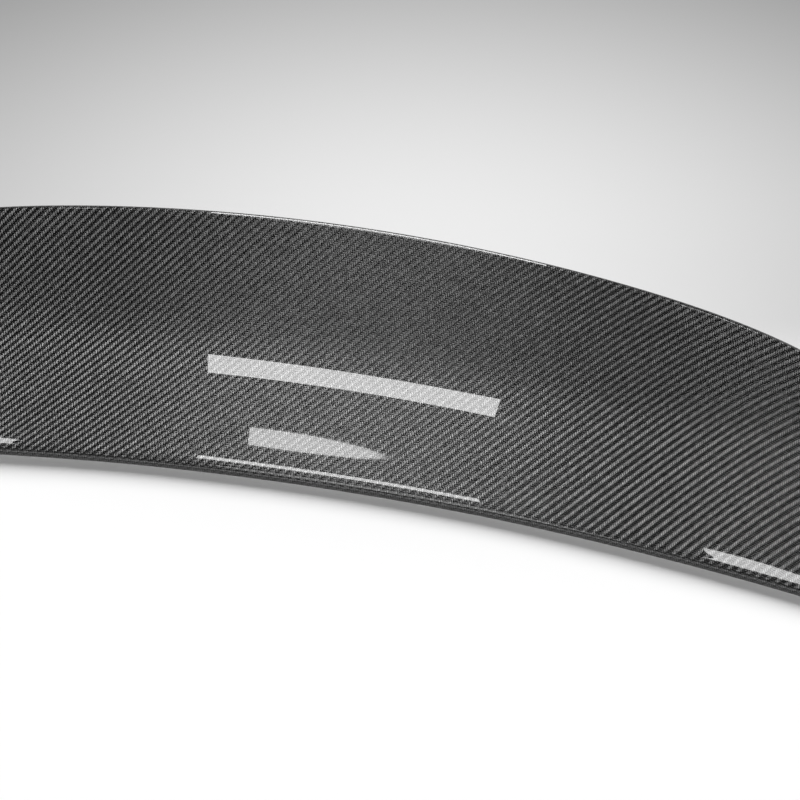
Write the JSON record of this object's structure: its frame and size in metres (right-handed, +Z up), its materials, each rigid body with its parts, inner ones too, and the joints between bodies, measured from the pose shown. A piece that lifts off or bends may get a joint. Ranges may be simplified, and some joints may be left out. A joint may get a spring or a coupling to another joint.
{
  "type": "car rear spoiler",
  "caption": "Hollow one-piece carbon-fibre ducktail spoiler for a boot lid: arched, upswept panel with a rolled leading edge, rounded trailing edge and a bonding flange beneath.",
  "frame": {"origin": "on the plane of the bonding flange, under the middle of the part", "axes": "+X along the width, +Y towards the car's rear, +Z up from the boot lid"},
  "size_m": [1.2, 0.2985, 0.088],
  "materials": {
    "carbon_laminate": "two-by-two twill carbon fibre under a polished clear coat"
  },
  "bodies": {
    "root": {"spoiler_shell": "carbon_laminate"}
  },
  "joints": []
}
